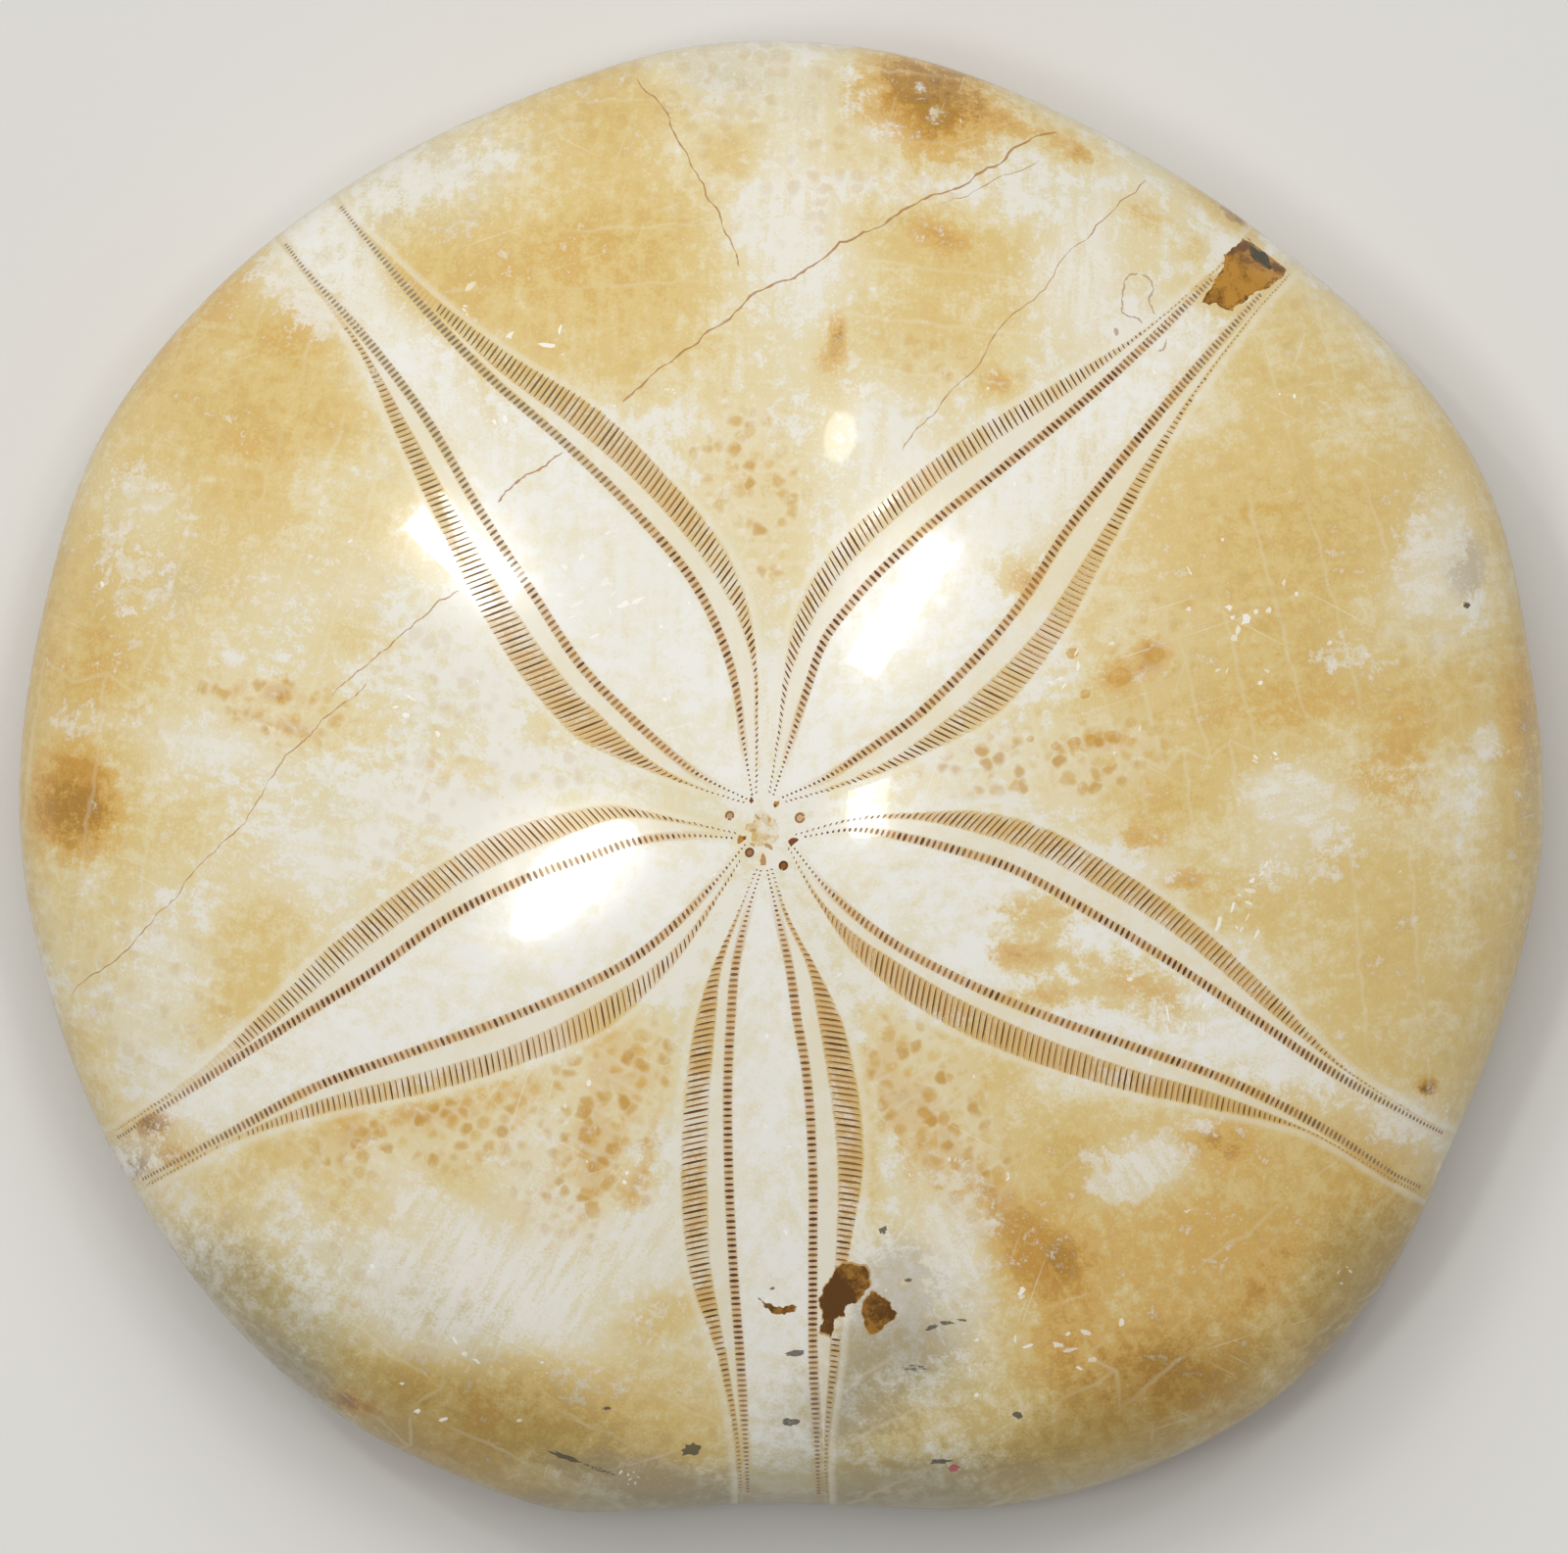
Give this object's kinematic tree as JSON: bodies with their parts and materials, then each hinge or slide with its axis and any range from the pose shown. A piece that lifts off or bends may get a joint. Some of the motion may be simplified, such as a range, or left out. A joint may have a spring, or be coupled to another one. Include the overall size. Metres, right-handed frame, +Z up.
{
  "type": "fossil sea urchin",
  "caption": "Polished fossil sea urchin: a low five-lobed dome with five pore-lined petals above and a dished underside with a central mouth pit.",
  "frame": {"origin": "bottom centre of the bounding box, on the surface that the fossil rests on", "axes": "+Z up through the apex, -Y toward the front petal, +X to the right seen from above with the front petal down"},
  "size_m": [0.11, 0.1062, 0.031],
  "materials": {
    "polished_calcite": "polished cream and honey calcite, glossy, with dark red-brown pore slits"
  },
  "bodies": {
    "root": {"fossil_sea_urchin": "polished_calcite"}
  },
  "joints": []
}
